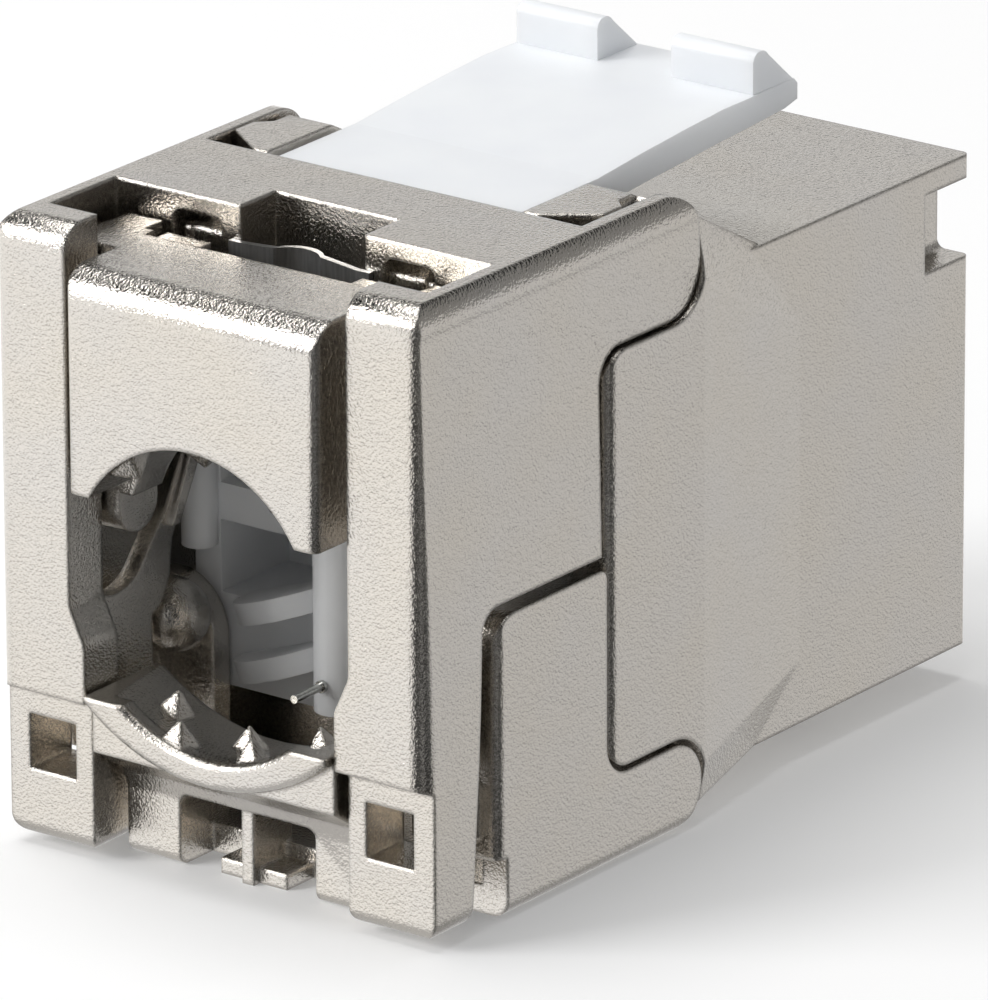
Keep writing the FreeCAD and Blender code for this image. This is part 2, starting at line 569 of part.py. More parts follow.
def upper_wing():
    """U-shaped die-cast cover with posts, snap feet, bridge and hinge arms."""
    section = front_prism(upper_section(), -1, FLARE_Y + 1)
    side = side_prism(upper_side_outline(), -HALF_REAR - 1, HALF_REAR + 1)
    solid = section.common(side)
    half = HALF_REAR
    r = POST_ROUND
    rear_plan = plan_prism([(-half, FLARE_Y + 1), (-half, r), ("arc", arc_through((r - half, r), r, 225), (r - half, 0)),
                            (half - r, 0), ("arc", arc_through((half - r, r), r, -45), (half, r)),
                            (half, FLARE_Y + 1)], -1, TOP_Z + 1)
    solid = solid.common(rear_plan)
    ceiling = TOP_Z - BRIDGE_THICK
    inner = WING_INNER_HALF
    cuts = post_slot()
    # cable space behind the posts and under the bridge
    cuts.append(box(-inner, inner, FOOT_DEPTH, FLARE_Y + 1, -1, WING_SEAM_Z))
    cuts.append(box(-inner, inner, POST_DEPTH, FLARE_Y + 1, POST_STEP_Z, GUIDE_LOW_Z))
    cuts.append(box(-inner, inner, GUIDE_FRONT_Y, FLARE_Y + 1, GUIDE_LOW_Z - EPS, ceiling))
    cuts.append(box(-inner, inner, POST_DEPTH, NOTCH_Y, GUIDE_LOW_Z - EPS, TOP_Z + 1))
    cuts.append(box(-inner, inner, HOUSING_REAR_Y, FLARE_Y + 1, ceiling - EPS, TOP_Z + 1))
    cuts.append(box(-POCKET_HALF, POCKET_HALF, NOTCH_Y - EPS, POCKET_Y, POCKET_FLOOR_Z, TOP_Z + 1))
    cuts += both(rack_recess())
    hole_end = SNAP_HOLE_IN + SNAP_HOLE
    cuts += both(box(SNAP_HOLE_IN, hole_end, -1, FOOT_DEPTH + 1, SNAP_HOLE_Z, SNAP_HOLE_Z + SNAP_HOLE))
    solid = solid.cut(cuts)
    corner = FOOT_ROUND
    inner_corner = 0.6 * FOOT_ROUND
    for turn in (1, -1):
        # round lower corners of the feet
        outer = turn * HALF_REAR
        tool = front_prism([(outer + turn, FOOT_Z - 1), (outer - turn * corner, FOOT_Z - 1),
                            (outer - turn * corner, FOOT_Z),
                            ("arc", (outer - turn * 0.29 * corner, FOOT_Z + 0.29 * corner),
                             (outer, FOOT_Z + corner)),
                            (outer + turn, FOOT_Z + corner)], -1, FOOT_DEPTH + 1)
        inner_x = turn * FOOT_HALF_IN
        tool2 = front_prism([(inner_x - turn, FOOT_Z - 1), (inner_x + turn * inner_corner, FOOT_Z - 1),
                             (inner_x + turn * inner_corner, FOOT_Z),
                             ("arc", (inner_x + turn * 0.29 * inner_corner, FOOT_Z + 0.29 * inner_corner),
                              (inner_x, FOOT_Z + inner_corner)),
                             (inner_x - turn, FOOT_Z + inner_corner)], -1, FOOT_DEPTH + 1)
        solid = solid.cut([tool, tool2])
    reach = WING_INNER_HALF - PIN_END_HALF
    pins = both(rod((PIN_END_HALF, UPPER_PIVOT_Y, UPPER_PIVOT_Z), (1, 0, 0), UPPER_PIN_RADIUS, reach + 0.3))
    return joined(solid, *(pins + inner_webs()))


# ---- Lower wing ----------------------------------------------------------
def lower_side_outline():
    """Side view of the lower wing's panels, down to the hinge end."""
    top = WING_SEAM_Z - WING_SEAM_GAP
    y = HOUSING_REAR_Y - SEAM
    s = SHOULDER_ROUND + SEAM
    low = SILL_Z - 0.2
    pivot = (LOWER_PIVOT_Y, LOWER_PIVOT_Z)
    r = LOWER_LOBE_ROUND
    return [(LOWER_REAR_Y, LOWER_NOTCH_Z), (LOWER_REAR_Y, top - 0.9),
            ("arc", arc_through((LOWER_REAR_Y + 0.9, top - 0.9), 0.9, 135), (LOWER_REAR_Y + 0.9, top)),
            (y - 0.35, top), ("arc", arc_through((y - 0.35, top - 0.35), 0.35, 45), (y, top - 0.35)),
            (y, low + s), ("arc", arc_through((y + s, low + s), s, 225), (y + s, low)),
            (pivot[0], low), ("arc", arc_through(pivot, r, 30), arc_through(pivot, r, -20)),
            ("arc", arc_through(pivot, r, -55), arc_through(pivot, r, -83)),
            (10.0, 0), (LOWER_REAR_Y + LOWER_NOTCH, 0), (LOWER_REAR_Y + LOWER_NOTCH, LOWER_NOTCH_Z)]


def cradle():
    """Front wall of the cable cradle with its rolled lip and webbed recess."""
    rim = Part.makeCylinder(LIP_INNER_RADIUS, 3 + LIP_THICK, Vector(0, -3, LIP_INNER_Z), Vector(0, 1, 0))
    fall = math.radians(TROUGH_FALL)
    start = Vector(0, LIP_THICK - math.cos(fall), LIP_INNER_Z - LIP_INNER_RADIUS + TROUGH_RADIUS + math.sin(fall))
    trough = Part.makeCylinder(TROUGH_RADIUS, 8, start, Vector(0, math.cos(fall), -math.sin(fall)))
    trough = trough.common(box(-10, 10, LIP_THICK, 10, -5, 20))
    outer = Part.makeCylinder(LIP_OUTER_RADIUS, 12, Vector(0, -3, LIP_OUTER_Z), Vector(0, 1, 0))
    r = 0.4
    wall = side_prism([(0.2, LIP_TOP_Z), (0.2, LIP_OUTER_Z - LIP_OUTER_RADIUS + 0.05),
                       (CRADLE_Y - 0.25, RECESS_TOP_Z + 0.45), (CRADLE_Y, RECESS_TOP_Z - 0.2),
                       (CRADLE_Y, r), ("arc", arc_through((CRADLE_Y + r, r), r, 225), (CRADLE_Y + r, 0)),
                       (LOWER_REAR_Y + LOWER_NOTCH + 0.5, 0),
                       (LOWER_REAR_Y + LOWER_NOTCH + 0.5, FLOOR_THICK), (CRADLE_END_Y, FLOOR_THICK),
                       (CRADLE_END_Y, LIP_TOP_Z)], -CRADLE_HALF, CRADLE_HALF)
    lip = box(-CRADLE_HALF, CRADLE_HALF, -LIP_PROUD, 1.0, 0, LIP_TOP_Z).common(outer).cut(rim)
    arcs = [e for e in lip.Edges if e.BoundBox.YMax < EPS - LIP_PROUD and e.Length > LIP_INNER_RADIUS]
    lip = lip.makeFillet(LIP_ROUND, arcs)
    body = wall.fuse(lip).cut([rim, trough])
    recess = front_prism(rounded_rectangle(-RECESS_HALF, RECESS_HALF, -1.0, RECESS_TOP_Z, 0.35),
                         -1, CRADLE_Y + RECESS_DEPTH)
    web = box(-WEB_HALF, WEB_HALF, CRADLE_Y, CRADLE_Y + RECESS_DEPTH + 0.3, 0, RECESS_TOP_Z + 0.2)
    flange = box(-FLANGE_HALF, FLANGE_HALF, CRADLE_Y + 0.3, CRADLE_Y + RECESS_DEPTH + 0.3, 0, FLANGE_HEIGHT)
    return body.cut(recess).fuse([web, flange])


def tooth(x, y):
    """A pointed grip tooth that stands on the trough."""
    inside = y > LIP_THICK
    radius = TROUGH_RADIUS if inside else LIP_INNER_RADIUS
    drop = (y - LIP_THICK) * math.tan(math.radians(TROUGH_FALL)) if inside else 0.0
    z = LIP_INNER_Z - LIP_INNER_RADIUS - drop + radius - math.sqrt(radius ** 2 - x ** 2)
    return pyramid((x, y, z), -5.0 * x, TOOTH_HALF, TOOTH_HALF, TOOTH_HEIGHT)


def finger_and_lug(turn):
    """Finger from the floor with a round-ended lug in front, one side."""
    inner = turn * FINGER_HALF_IN
    wall = turn * (WING_INNER_HALF + 0.3)
    top = FINGER_TOP_Z
    finger = front_prism([(wall, FLOOR_THICK - 0.2), (inner, FLOOR_THICK - 0.2), (inner, top - 1.9),
                          ("arc", (inner + turn * 0.45, top - 0.65), (inner + turn * 1.5, top)), (wall, top)],
                         FINGER_Y, FINGER_Y + FINGER_THICK)
    middle = turn * (LUG_HALF_IN + LUG_RADIUS)
    nose = (middle - turn * LUG_RADIUS * math.sqrt(0.5), LUG_Y + LUG_RADIUS * math.sqrt(0.5))
    half_lug = outline([(turn * LUG_HALF_IN, LUG_Y), ("arc", nose, (middle, LUG_Y + LUG_RADIUS)),
                        (wall, LUG_Y + LUG_RADIUS), (wall, LUG_Y)], lambda x, y: Vector(x, y, LUG_Z))
    lug = half_lug.revolve(Vector(0, LUG_Y, LUG_Z), Vector(1, 0, 0), 360)
    return [finger, lug]


def lower_wing():
    """Die-cast tray: side panels, floor, cable cradle, teeth and hinge ends."""
    r = 0.6
    half = HALF_REAR
    section = front_prism([(-half, 12), (-half, r), ("arc", arc_through((r - half, r), r, 225), (r - half, 0)),
                           (half - r, 0), ("arc", arc_through((half - r, r), r, -45), (half, r)), (half, 12)],
                          -1, FLARE_Y + 1)
    side = side_prism(lower_side_outline(), -half - 1, half + 1)
    k = LOWER_EDGE_ROUND
    back = LOWER_REAR_Y
    rear_plan = plan_prism([(-half, 20), (-half, back + k), ("arc", arc_through((k - half, back + k), k, 225),
                                                             (k - half, back)),
                            (half - k, back), ("arc", arc_through((half - k, back + k), k, -45),
                                               (half, back + k)), (half, 20)], -1, 20)
    solid = section.common(side).common(rear_plan)
    inner = WING_INNER_HALF + 0.05
    solid = solid.cut([box(-inner, inner, 0, 20, FLOOR_THICK, 20),
                       box(-inner, inner, FLOOR_END_Y, 20, -1, FLOOR_THICK + EPS)])
    snaps = both(box(SNAP_HOLE_IN + 0.15, WING_INNER_HALF + 0.3, FOOT_DEPTH + 0.2, LOWER_REAR_Y + 1,
                     SNAP_HOLE_Z + 0.1, SNAP_HOLE_Z + SNAP_HOLE - 0.1))
    grips = [tooth(x, TOOTH_ROWS_Y[0]) for x in (-TOOTH_PITCH, 0.0, TOOTH_PITCH)]
    grips += [tooth(x, TOOTH_ROWS_Y[1]) for x in (-TOOTH_PITCH / 2, TOOTH_PITCH / 2)]
    reach = inner - PIN_END_HALF
    pins = both(rod((PIN_END_HALF, LOWER_PIVOT_Y, LOWER_PIVOT_Z), (1, 0, 0), LOWER_PIN_RADIUS, reach + 0.3))
    return joined(solid, cradle(), *(snaps + grips + pins + finger_and_lug(1) + finger_and_lug(-1)))


# ---- Cable clamp ---------------------------------------------------------
def clamp_plate():
    """T-shaped slider: face between the posts, flange and runners behind them."""
    r = CLAMP_ROUND
    front = -CLAMP_PROUD
    back = POST_DEPTH + SLIDE_GAP
    face = side_prism([(front, CLAMP_TIP_Z), (front, CLAMP_TOP_Z - r),
                       ("arc", arc_through((front + r, CLAMP_TOP_Z - r), r, 135), (front + r, CLAMP_TOP_Z)),
                       (back + 0.3, CLAMP_TOP_Z), (back + 0.3, CLAMP_TIP_Z)], -CLAMP_HALF, CLAMP_HALF)
    k = 0.3
    plan = plan_prism([(-CLAMP_HALF, back + 1), (-CLAMP_HALF, front + k),
                       ("arc", arc_through((k - CLAMP_HALF, front + k), k, 225), (k - CLAMP_HALF, front)),
                       (CLAMP_HALF - k, front), ("arc", arc_through((CLAMP_HALF - k, front + k), k, -45),
                                                 (CLAMP_HALF, front + k)), (CLAMP_HALF, back + 1)], 0, 25)
    face = face.common(plan)
    flange = box(-FLANGE_PLATE_HALF, FLANGE_PLATE_HALF, back, FLANGE_PLATE_Y, FLANGE_PLATE_LOW_Z, CLAMP_TOP_Z)
    tip = (RUNNER_END_Y - back) / 2
    runner = side_prism([(back, CLAMP_TOP_Z), (back, RUNNER_TIP_Z + tip),
                         ("arc", (back + tip, RUNNER_TIP_Z), (RUNNER_END_Y, RUNNER_TIP_Z + tip)),
                         (RUNNER_END_Y, CLAMP_TOP_Z)], RUNNER_HALF_IN, FLANGE_PLATE_HALF)
    rib = box(RIB_HALF[0], RIB_HALF[1], back + 0.5, RIB_END_Y, FLANGE_PLATE_LOW_Z + 3.5, CLAMP_TOP_Z - 0.1)
    ear = side_prism([(back, CLAMP_TOP_Z), (back, CLAMP_TOP_Z - EAR_HEIGHT - 0.6),
                      (EAR_END_Y, CLAMP_TOP_Z - EAR_HEIGHT), (EAR_END_Y, CLAMP_TOP_Z)], EAR_HALF[0], EAR_HALF[1])
    arch = Part.makeCylinder(CABLE_ARCH_RADIUS, 12, Vector(0, -3, CABLE_ARCH_Z), Vector(0, 1, 0))
    mouth = box(-CABLE_ARCH_RADIUS, CABLE_ARCH_RADIUS, -3, 9, 5, CABLE_ARCH_Z)
    body = face.fuse([flange] + both(runner) + both(rib) + both(ear)).cut([arch, mouth])
    teeth = []
    for turn in (-CLAMP_TOOTH_TURN, 0.0, CLAMP_TOOTH_TURN):
        around = math.radians(turn)
        foot = (CABLE_ARCH_RADIUS * math.sin(around), 0, CABLE_ARCH_Z + CABLE_ARCH_RADIUS * math.cos(around))
        teeth.append(pyramid(foot, 180 + turn, CLAMP_TOOTH_HALF, CLAMP_TOOTH_DEEP, TOOTH_HEIGHT))
    return joined(body, *teeth)


def clamp_spring():
    """Steel leaf across the pocket: feet on the bridge, bowed away from the clamp."""
    t = SPRING_SHEET
    seat = NOTCH_Y - SPRING_SEAT
    foot = POCKET_HALF + SPRING_FOOT
    knee = POCKET_HALF - 0.2
    bow = seat + SPRING_BOW
    wave = 0.55
    leaf = plan_prism([(-foot, seat), (-knee, seat), (-2 * wave, seat + 0.2), ("arc", (-wave, bow), (wave, seat + 0.35)),
                       (knee, seat), (foot, seat), (foot, seat - t), (knee, seat - t), (wave, seat + 0.35 - t),
                       ("arc", (-wave, bow - t), (-2 * wave, seat + 0.2 - t)), (-knee, seat - t), (-foot, seat - t)],
                      SPRING_LOW_Z, CLAMP_TOP_Z - SLIDE_GAP)
    return leaf


# ---- Latch ---------------------------------------------------------------
def latch():
    """Flexible nylon latch: round root, sloping arm and two ramped catches."""
    top = LATCH_TOP_Z
    rise = LATCH_RISE_Z
    t = LATCH_THICK
    root = LATCH_ROOT_Y
    r = LATCH_ROOT_RADIUS
    arm = side_prism([(root - r, top - 0.1), (root - r, LATCH_ROOT_Z - 0.1),
                      ("arc", (root, LATCH_ROOT_Z - 0.35), (root + r, LATCH_ROOT_Z - 0.1)),
                      (13.5, top - t + 0.1), ("arc", (16.8, top - t + 0.32), (20.0, rise - t)),
                      (22.2, rise - t + 0.1), (23.3, rise - 0.85), (LATCH_END_Y - 0.25, rise - 0.72),
                      ("arc", (LATCH_END_Y, rise - 0.5), (LATCH_END_Y - 0.1, rise - 0.3)),
                      (23.8, rise), (20.0, rise), ("arc", (16.8, top + 0.32), (13.5, top + 0.03)),
                      (root - r, top)], -LATCH_HALF, LATCH_HALF)
    catch = side_prism([(CATCH_Y, rise - 0.3), (CATCH_Y, CATCH_TOP_Z - 0.35),
                        ("arc", arc_through((CATCH_Y + 0.35, CATCH_TOP_Z - 0.35), 0.35, 135),
                         (CATCH_Y + 0.35, CATCH_TOP_Z)),
                        (CATCH_Y + 0.45, CATCH_TOP_Z), ("arc", (CATCH_Y + 0.65, CATCH_TOP_Z - 0.06),
                                                        (CATCH_Y + 0.8, CATCH_TOP_Z - 0.2)),
                        (LATCH_END_Y - 0.1, rise - 0.3)], CATCH_IN, CATCH_OUT)
    wide_end = plan_prism([(-LATCH_HALF, 0), (LATCH_HALF, 0), (LATCH_HALF, 21.0), (CATCH_OUT, 24.0),
                           (CATCH_OUT - 0.3, LATCH_END_Y), (0.3 - CATCH_OUT, LATCH_END_Y),
                           (-CATCH_OUT, 24.0), (-LATCH_HALF, 21.0)], 0, 30)
    body = joined(arm, *both(catch)).common(wide_end)
    pins = both(rod((LATCH_HALF - 0.2, root, LATCH_ROOT_Z), (1, 0, 0), LATCH_PIN_RADIUS, LATCH_PIN_LENGTH + 0.2))
    return joined(body, *pins)


# ---- Inside the housing --------------------------------------------------
def contact_x(number):
    """Middle of a port contact, counted from 0."""
    return (number - (CONTACTS - 1) / 2) * CONTACT_PITCH


def idc_place(number):
    """Middle of an insulation-displacement contact: four below, four above."""
    return ((number % 4 - 1.5) * IDC_PITCH, IDC_ROWS_Z[number // 4])


def contact_insert():
    """Plastic carrier that forms the port and guides its contacts."""
    gap = 0.05
    half = SHELL_HALF - gap
    body = box(-half, half, INSERT_Y, INSERT_END_Y, CHAMBER_LOW + gap, CHAMBER_HIGH - gap)
    floor = PORT_TOP - PORT_BODY_HEIGHT
    cuts = [box(-PORT_WIDTH / 2, PORT_WIDTH / 2, PLUG_STOP_Y, BODY_DEPTH, floor, PORT_TOP)]
    channel = front_prism(port_outline(), BODY_DEPTH - FRONT_WALL - TAB_CHANNEL_LENGTH, BODY_DEPTH)
    cuts.append(channel)
    slot = CONTACT_WIDTH / 2 + CONTACT_SLOT_GAP
    rail_top = CONTACT_RAIL_Z + slot
    bend_end = CONTACT_BEND_Y + CONTACT_BEND_RADIUS + slot
    for number in range(CONTACTS):
        x = contact_x(number)
        cuts.append(box(x - slot, x + slot, PLUG_STOP_Y + 0.6, bend_end, PORT_TOP - 1, rail_top))
        cuts.append(box(x - slot, x + slot, INSERT_Y - 1, PLUG_STOP_Y + 1, CONTACT_RAIL_Z - slot, rail_top))
    room = 2 * SLIDE_GAP
    window_z = PLUG_SPRING_HEIGHT / 2 + room
    window = box(PORT_WIDTH / 2 - 0.5, SHELL_HALF + 1, PLUG_SPRING_REAR_Y - room, PLUG_SPRING_FRONT_Y + room,
                 PLUG_SPRING_Z - window_z, PLUG_SPRING_Z + window_z)
    cuts += both(window)
    return body.cut(cuts).removeSplitter()


def port_contact(number):
    """Gold-plated wire: straight along its rail, folded back into the port."""
    x = contact_x(number)
    w = CONTACT_WIDTH
    bend = CONTACT_BEND_RADIUS
    tilt = math.atan2(CONTACT_RAIL_Z - 2 * bend - CONTACT_TIP_Z, CONTACT_BEND_Y - CONTACT_TIP_Y)
    centre = (CONTACT_BEND_Y, CONTACT_RAIL_Z - bend)
    turn_end = -90 - math.degrees(tilt)
    outer = bend + w / 2
    inner = bend - w / 2
    mid = (90 + turn_end) / 2
    back_y = BOARD_Y - CONTACT_TAIL
    run = (CONTACT_BEND_Y - CONTACT_TIP_Y) / math.cos(tilt)
    along = (-math.cos(tilt), -math.sin(tilt))
    outer_end = arc_through(centre, outer, turn_end)
    inner_end = arc_through(centre, inner, turn_end)
    tip_outer = (outer_end[0] + along[0] * run, outer_end[1] + along[1] * run)
    tip_inner = (inner_end[0] + along[0] * run, inner_end[1] + along[1] * run)
    return side_prism([(back_y, centre[1] + outer), (centre[0], centre[1] + outer),
                       ("arc", arc_through(centre, outer, mid), outer_end), tip_outer, tip_inner, inner_end,
                       ("arc", arc_through(centre, inner, mid), (centre[0], centre[1] + inner)),
                       (back_y, centre[1] + inner)], x - w / 2, x + w / 2)


def contact_board():
    """Circuit board between the port contacts and the wire contacts."""
    half = SHELL_HALF - 0.1
    body = box(-half, half, BOARD_Y, INSERT_Y, CHAMBER_LOW + 0.1, CHAMBER_HIGH - 0.1)
    holes = [box(contact_x(n) - CONTACT_WIDTH / 2, contact_x(n) + CONTACT_WIDTH / 2, BOARD_Y - 1, INSERT_Y + 1,
                 CONTACT_RAIL_Z - CONTACT_WIDTH / 2, CONTACT_RAIL_Z + CONTACT_WIDTH / 2) for n in range(CONTACTS)]
    for number in range(CONTACTS):
        x, z = idc_place(number)
        holes.append(box(x - 0.4, x + 0.4, BOARD_Y - 1, INSERT_Y + 1, z - IDC_THICK / 2, z + IDC_THICK / 2))
    return body.cut(holes)


def idc_contact(number):
    """Slotted fork that bites through a wire's insulation, with a board tail."""
    x, z = idc_place(number)
    tip = IDC_BLOCK_Y - IDC_REACH
    half = IDC_WIDTH / 2
    slot = IDC_SLOT / 2
    tail_end = INSERT_Y
    outline_points = [(x - half, tip + 0.5), (x - half + 0.35, tip), (x - slot - 0.25, tip), (x - slot, tip + 0.5),
                      (x - slot, tip + 2.2), ("arc", (x, tip + 2.2 + slot), (x + slot, tip + 2.2)),
                      (x + slot, tip + 0.5), (x + slot + 0.25, tip), (x + half - 0.35, tip), (x + half, tip + 0.5),
                      (x + half, BOARD_Y), (x + 0.4, BOARD_Y), (x + 0.4, tail_end),
                      (x - 0.4, tail_end), (x - 0.4, BOARD_Y), (x - half, BOARD_Y)]
    return plan_prism(outline_points, z - IDC_THICK / 2, z + IDC_THICK / 2)


def idc_block():
    """Plastic block that holds the eight forks in two rows."""
    half = CHAMBER_HALF - SLIDE_GAP
    body = front_prism(rounded_rectangle(-half, half, CHAMBER_LOW + SLIDE_GAP, CHAMBER_HIGH - SLIDE_GAP, 0.5),
                       IDC_BLOCK_Y, BOARD_Y)
    cuts = []
    for number in range(CONTACTS):
        x, z = idc_place(number)
        cuts.append(box(x - IDC_WIDTH / 2, x + IDC_WIDTH / 2, IDC_BLOCK_Y - 1, BOARD_Y + 1,
                        z - IDC_THICK / 2, z + IDC_THICK / 2))
    # one groove clears the soldered ends of the port contacts
    clear = CONTACT_WIDTH / 2 + CONTACT_SLOT_GAP
    cuts.append(box(contact_x(0) - clear, contact_x(CONTACTS - 1) + clear, BOARD_Y - CONTACT_TAIL - clear,
                    BOARD_Y + 1, CONTACT_RAIL_Z - clear, CONTACT_RAIL_Z + clear))
    return body.cut(cuts)


def manager_guides(top):
    """Nose, columns and curved ledges that steer the pairs into the mouths."""
    hold = MANAGER_Y + 0.3
    nose = rod((0, NOSE_Y, NOSE_LOW_Z), (0, 0, 1), NOSE_RADIUS, top - NOSE_LOW_Z)
    neck = box(-NOSE_RADIUS, NOSE_RADIUS, NOSE_Y, hold, NOSE_LOW_Z, top)
    column = rod((COLUMN_HALF, COLUMN_Y, COLUMN_LOW_Z), (0, 0, 1), COLUMN_RADIUS, top - COLUMN_LOW_Z)
    guides = [nose, neck] + both(column)
    for middle in LEDGE_Z:
        ledge = plan_prism([(0, COLUMN_Y), (NOSE_RADIUS, COLUMN_Y - 0.2), ("arc", (2.7, LEDGE_NOSE_Y), (4.9, COLUMN_Y)),
                            (4.9, hold), (0, hold)], middle - LEDGE_HEIGHT, middle)
        ledge.rotate(Vector(0, 0, middle), Vector(0, 1, 0), LEDGE_TILT)
        guides += both(ledge)
    return guides


def drain_pin():
    """Short metal pin with a collar, pressed into the nose."""
    face = NOSE_Y - NOSE_RADIUS
    pin = rod((0, face - PIN_REACH, PIN_Z), (0, 1, 0), PIN_RADIUS, PIN_REACH + 0.9)
    collar = rod((0, face - 0.15, PIN_Z), (0, 1, 0), 1.5 * PIN_RADIUS, 0.14)
    return joined(pin, collar)


def wire_manager():
    """Plastic manager: funnel for the pairs, cross ribs and eight wire slots."""
    half = CHAMBER_HALF - 2 * SLIDE_GAP
    low = CHAMBER_LOW + 2 * SLIDE_GAP
    high = CHAMBER_HIGH - 2 * SLIDE_GAP
    mid = (low + high) / 2
    body = front_prism(rounded_rectangle(-half, half, low, high, 0.8), MANAGER_Y, IDC_BLOCK_Y - 0.1)
    w = MANAGER_WALL
    cuts = []
    # four mouths, open at the cable side, with a vertical post and a shelf between
    for turn in (1, -1):
        x0 = min(turn * 0.7, turn * (half - w))
        x1 = max(turn * 0.7, turn * (half - w))
        cuts.append(box(x0, x1, MANAGER_Y - 1, MANAGER_Y + MANAGER_MOUTH, mid + 0.6, high - 3.0))
        cuts.append(box(x0, x1, MANAGER_Y - 1, MANAGER_Y + MANAGER_MOUTH, low + 3.0, mid - 0.6))
    for number in range(CONTACTS):
        x, z = idc_place(number)
        tip = IDC_BLOCK_Y - IDC_REACH
        # room for the fork and the wire that lies across it
        cuts.append(box(x - IDC_WIDTH / 2 - 0.1, x + IDC_WIDTH / 2 + 0.1, tip - 0.3, IDC_BLOCK_Y + 1,
                        z - IDC_THICK / 2 - 0.1, z + IDC_THICK / 2 + 0.1))
        outward = (low - 1, z) if z < mid else (z, high + 1)
        cuts.append(box(x - 0.5, x + 0.5, tip + 0.2, tip + 1.4, outward[0], outward[1]))
    socket = rod((0, NOSE_Y - NOSE_RADIUS - EPS, PIN_Z), (0, 1, 0), PIN_RADIUS + EPS, 1.0)
    return joined(body.cut(cuts), *manager_guides(high)).cut(socket)


def plug_spring():
    """Side spring of the port: sheet against the shell, bowed into the port."""
    t = PLUG_SPRING_THICK
    wall = SHELL_HALF
    bow = PORT_WIDTH / 2 - PLUG_SPRING_BOW
    rear = PLUG_SPRING_REAR_Y
    front = PLUG_SPRING_FRONT_Y
    foot = 0.8
    middle = (rear + front) / 2
    sheet = [(wall, rear), (wall - t, rear), (wall - t, rear + foot),
             ("arc", (bow, middle), (wall - t, front - foot)), (wall - t, front), (wall, front),
             (wall, front - foot), ("arc", (bow + t, middle), (wall, rear + foot))]
    low = PLUG_SPRING_Z - PLUG_SPRING_HEIGHT / 2
    return plan_prism(sheet, low, low + PLUG_SPRING_HEIGHT)


# ---- Build ---------------------------------------------------------------
def build():
    """Make every piece once and write it."""
    os.makedirs("parts", exist_ok=True)
    save("main_housing", main_housing())
    save("upper_wing", upper_wing())
    save("lower_wing", lower_wing())
    save("clamp_plate", clamp_plate())
    save("clamp_spring", clamp_spring())
    save("keystone_latch", latch())
    save("contact_insert", contact_insert())
    save("contact_board", contact_board())
    save("idc_block", idc_block())
    save("wire_manager", wire_manager())
    save("drain_pin", drain_pin())
    right_spring = plug_spring()
    save("plug_spring_right", right_spring)
    save("plug_spring_left", mirrored(right_spring))
    for number in range(CONTACTS):
        save("port_contact_%d" % (number + 1), port_contact(number))
        save("idc_contact_%d" % (number + 1), idc_contact(number))


build()
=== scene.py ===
# %% [markdown]
# # A shielded keystone jack
# This lesson dresses a finished CAD model of a keystone jack: a small die-cast
# socket that snaps into a wall plate. The CAD part has every piece already, so
# the work here is a camera, good finishes, soft cast edges and a pale studio.
# The first cell loads the model as a fixed frame.

import bpy
import bmesh
import json
import math

from mathutils import Matrix, Vector

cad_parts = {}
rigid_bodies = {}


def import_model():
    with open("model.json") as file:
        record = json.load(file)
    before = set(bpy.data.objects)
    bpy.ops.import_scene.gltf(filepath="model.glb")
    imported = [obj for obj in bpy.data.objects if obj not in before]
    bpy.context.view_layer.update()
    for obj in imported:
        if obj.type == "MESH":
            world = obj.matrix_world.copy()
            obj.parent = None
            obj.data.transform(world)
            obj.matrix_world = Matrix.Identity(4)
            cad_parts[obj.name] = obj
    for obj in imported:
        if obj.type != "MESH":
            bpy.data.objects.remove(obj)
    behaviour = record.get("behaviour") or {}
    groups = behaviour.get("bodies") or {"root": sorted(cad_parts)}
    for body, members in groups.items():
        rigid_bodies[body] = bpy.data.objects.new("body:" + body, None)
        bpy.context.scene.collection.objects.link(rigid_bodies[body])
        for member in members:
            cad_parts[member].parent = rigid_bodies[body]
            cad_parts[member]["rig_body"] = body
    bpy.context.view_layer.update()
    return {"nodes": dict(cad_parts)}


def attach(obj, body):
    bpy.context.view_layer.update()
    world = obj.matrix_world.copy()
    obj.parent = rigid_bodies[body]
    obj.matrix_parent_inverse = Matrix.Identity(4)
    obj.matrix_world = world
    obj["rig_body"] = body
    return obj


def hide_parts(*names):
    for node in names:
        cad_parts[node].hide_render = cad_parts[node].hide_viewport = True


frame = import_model()
nodes = frame["nodes"]
MM = 0.001

# %% [markdown]
# ## The camera
# A small product is best seen from far away through a long lens, so that its
# edges stay nearly parallel. The camera stands about 40 cm off, turned 37
# degrees round from the cable side and looking down 20 degrees. Its place is
# worked out from those angles, so it is easy to read and to change. The
# distances in this cell are in metres.

# %% Camera
YAW = math.radians(36.866)
PITCH = math.radians(19.713)
ROLL = math.radians(-0.251)
DISTANCE = 0.396676
LENS = 466.96
SENSOR = 36.0
NEAR_FAR = (0.01, 50.0)
AIM = Vector((0.0, -0.000295, 0.0154))
SIDE_STEP = 0.000212
RISE_STEP = -0.006175

